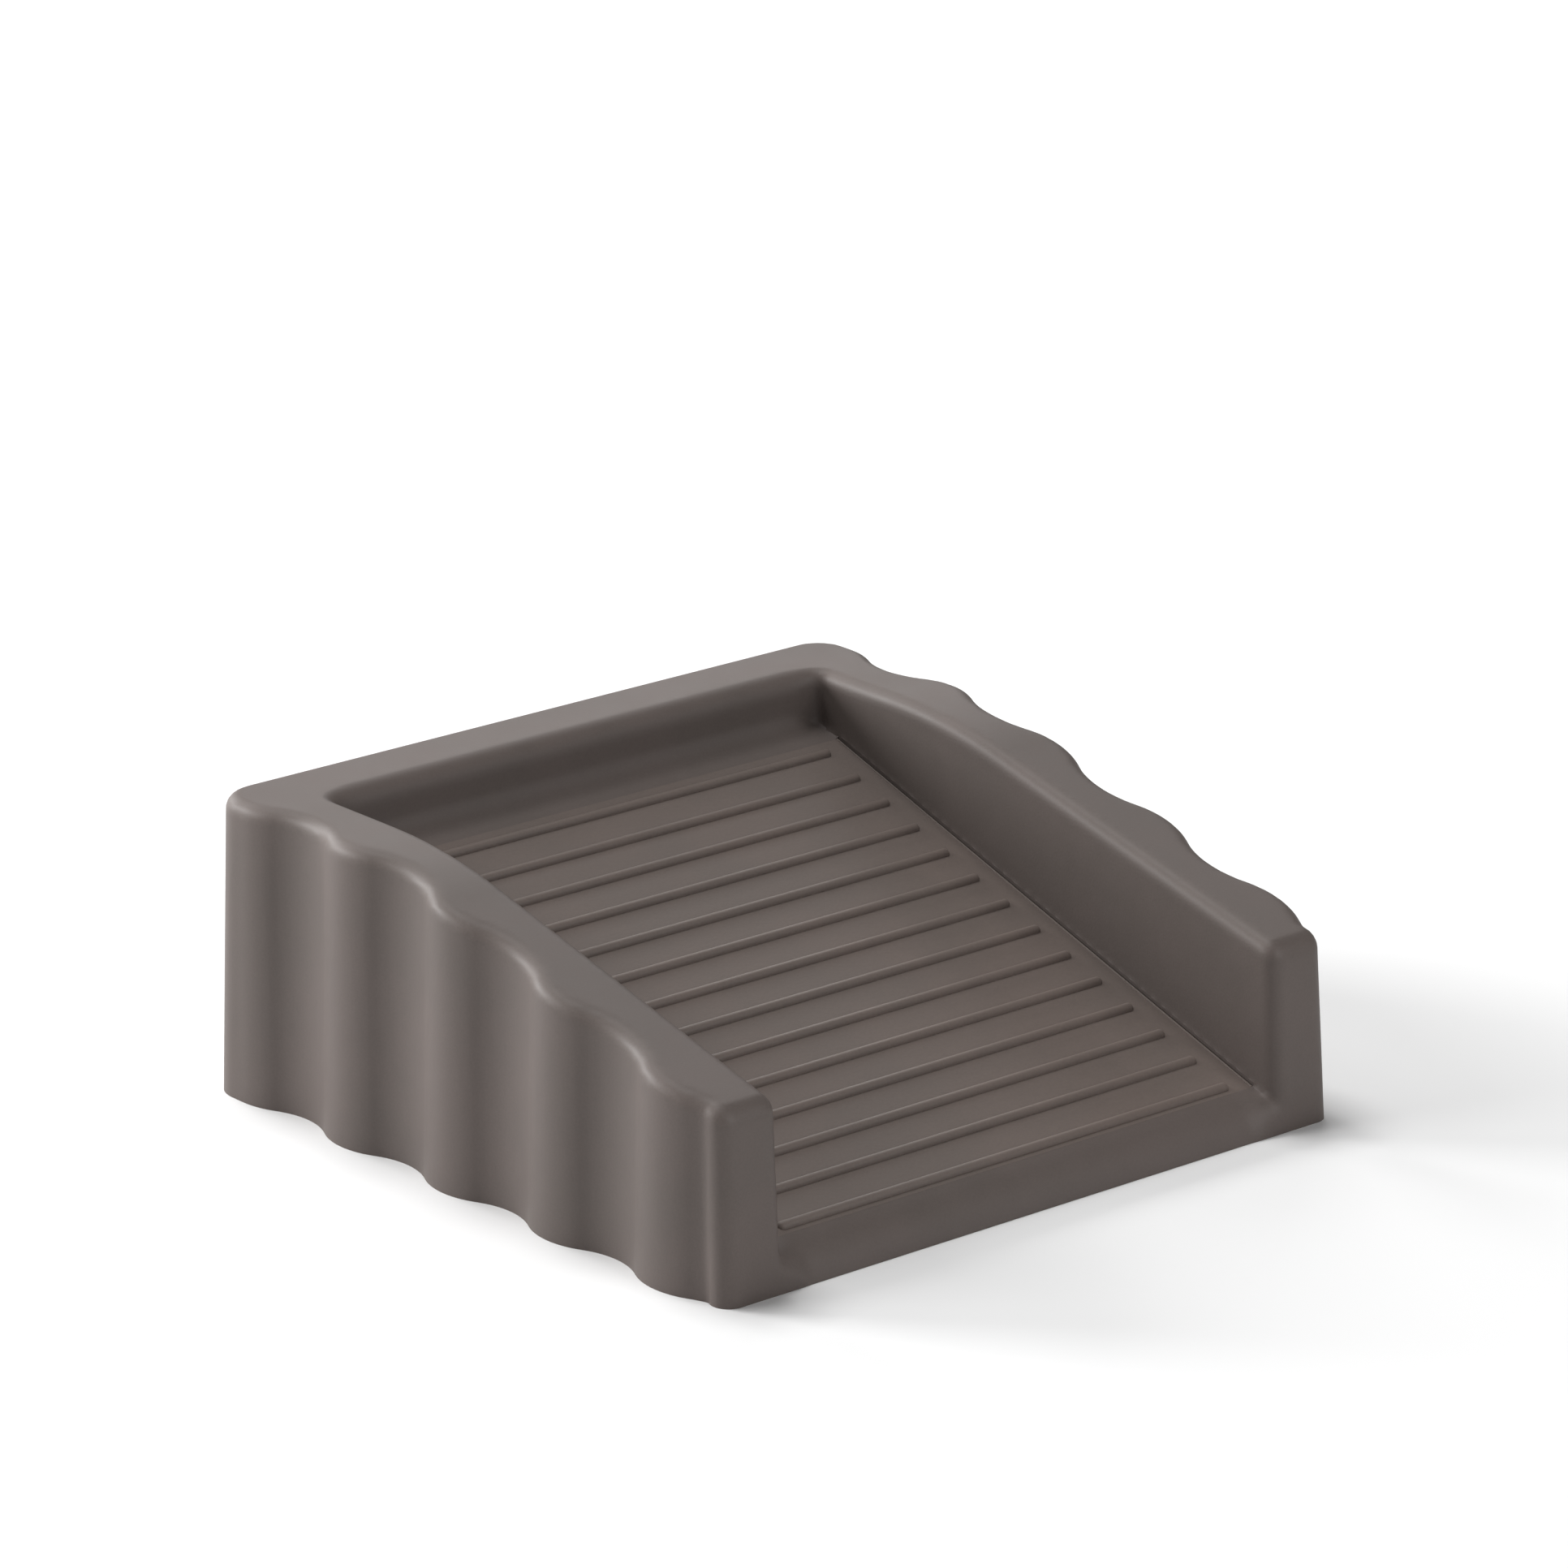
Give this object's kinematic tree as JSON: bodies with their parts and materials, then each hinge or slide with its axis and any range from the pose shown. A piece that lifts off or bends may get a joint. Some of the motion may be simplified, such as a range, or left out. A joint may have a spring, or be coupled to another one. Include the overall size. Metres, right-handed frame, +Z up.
{
  "type": "door wedge",
  "caption": "Moulded door wedge with fluted side walls, a back wall and a ribbed ramp that takes the bottom corner of a door between the walls.",
  "frame": {"origin": "on the floor, under the middle of the footprint", "axes": "+X across the wedge, +Y from the low open front towards the back wall, +Z up"},
  "size_m": [0.08, 0.0782, 0.0308],
  "materials": {
    "body_elastomer": "satin moulded",
    "tread_elastomer": "satin moulded",
    "grip_rubber": "matte"
  },
  "bodies": {
    "root": {"wedge_body": "body_elastomer", "ramp_tread": "tread_elastomer", "floor_grip_pad": "grip_rubber"}
  },
  "joints": []
}
